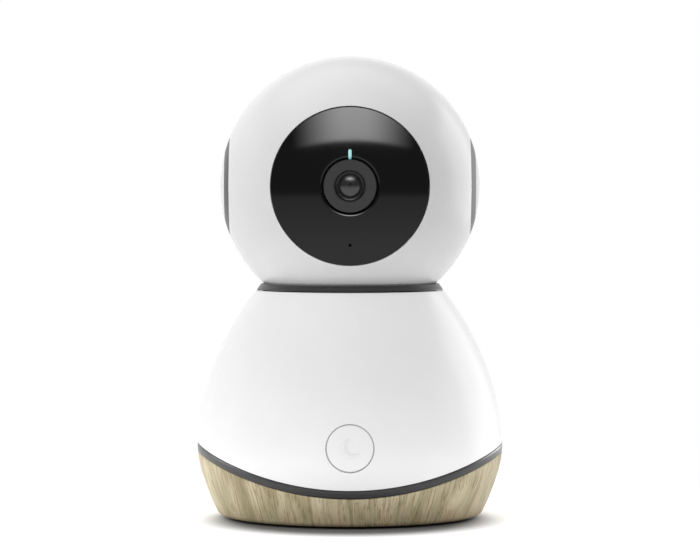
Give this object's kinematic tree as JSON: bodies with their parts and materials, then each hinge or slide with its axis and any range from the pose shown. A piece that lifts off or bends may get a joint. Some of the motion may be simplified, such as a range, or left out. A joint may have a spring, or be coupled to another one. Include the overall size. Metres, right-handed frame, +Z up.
{
  "type": "security camera",
  "caption": "Pan-and-tilt indoor camera: ball head with a gloss black face, bell-shaped white body with a sprung front button, and a wood-look base on a rubber foot ring.",
  "frame": {"origin": "centre of the underside, on the surface the camera stands on", "axes": "+Z up through the pan axis, -Y the way the lens looks at rest, +X to the right of someone facing the lens"},
  "size_m": [0.0942, 0.0942, 0.142],
  "materials": {
    "white_abs": "polished moulded white",
    "charcoal_abs": "satin moulded charcoal",
    "wood_look": "satin pale oak grain",
    "face_gloss": "high-gloss black panel",
    "dark_plastic": "plain moulded dark",
    "rubber": "soft matt",
    "circuit_board": "solder-masked glass-epoxy laminate",
    "steel": "plated steel",
    "gear_acetal": "self-lubricating acetal",
    "brass": "turned brass",
    "lens_glass": "coated optical glass",
    "status_light": "pale cyan light guide",
    "wire_sleeve": "sleeved wire bundle"
  },
  "bodies": {
    "base": {"foot_ring": "rubber", "base_plate": "dark_plastic", "base_screw_1": "steel", "base_screw_2": "steel", "base_screw_3": "steel", "base_screw_4": "steel", "wood_base_shell": "wood_look", "trim_band": "charcoal_abs", "body_shell": "white_abs", "neck_ring": "charcoal_abs", "chassis": "dark_plastic", "pan_bearing": "steel", "pan_motor": "steel", "main_board": "circuit_board", "harness_socket": "gear_acetal", "processor_shield": "steel", "usb_inlet": "steel", "speaker": "dark_plastic", "wifi_antenna": "circuit_board", "button_board": "circuit_board", "tact_switch": "dark_plastic"},
    "button": {"front_button": "white_abs"},
    "turntable": {"turntable": "gear_acetal", "pan_gear": "gear_acetal", "pan_retainer": "steel", "tilt_yoke": "dark_plastic", "tilt_axle": "steel", "tilt_gear": "gear_acetal", "wire_harness": "wire_sleeve"},
    "pan_pinion": {"pan_pinion": "brass"},
    "head": {"head_front_shell": "white_abs", "head_rear_shell": "white_abs", "slot_liner": "charcoal_abs", "face_panel": "face_gloss", "lens_bezel": "charcoal_abs", "lens_barrel": "dark_plastic", "front_lens": "lens_glass", "sensor_board": "circuit_board", "ir_board": "circuit_board", "ir_led_left": "lens_glass", "ir_led_right": "lens_glass", "status_light": "status_light", "microphone": "steel", "ear_ring_left": "charcoal_abs", "ear_ring_right": "charcoal_abs", "ear_cap_left": "white_abs", "ear_cap_right": "white_abs", "tilt_bush_left": "brass", "tilt_bush_right": "brass", "tilt_motor": "steel", "head_screw_1": "steel", "head_screw_2": "steel", "head_screw_3": "steel", "head_screw_4": "steel"},
    "tilt_pinion": {"tilt_pinion": "brass"}
  },
  "joints": [
    {"name": "pan", "type": "hinge", "parent": "base", "child": "turntable", "pos_m": [0, 0, 0.055], "axis": [0, 0, 1], "range_deg": [-175, 175]},
    {"name": "tilt", "type": "hinge", "parent": "turntable", "child": "head", "pos_m": [0, 0, 0.102], "axis": [-1, 0, 0], "range_deg": [-20, 60]},
    {"name": "pan_pinion_spin", "type": "hinge", "parent": "base", "child": "pan_pinion", "pos_m": [-0.021, 0, 0.053], "axis": [0, 0, 1], "range_deg": [-565, 565]},
    {"name": "tilt_pinion_spin", "type": "hinge", "parent": "head", "child": "tilt_pinion", "pos_m": [0, 0, 0.119], "axis": [-1, 0, 0], "range_deg": [-60, 150]},
    {"name": "button_press", "type": "slide", "parent": "base", "child": "button", "axis": [0, 1, 0], "range_m": [0, 0.0006], "stiffness_N_per_m": 1500, "springref_m": -0.0004}
  ],
  "couplings": [
    {"joint": "pan_pinion_spin", "follows": "pan", "ratio": -3.2},
    {"joint": "tilt_pinion_spin", "follows": "tilt", "ratio": 2.4}
  ]
}
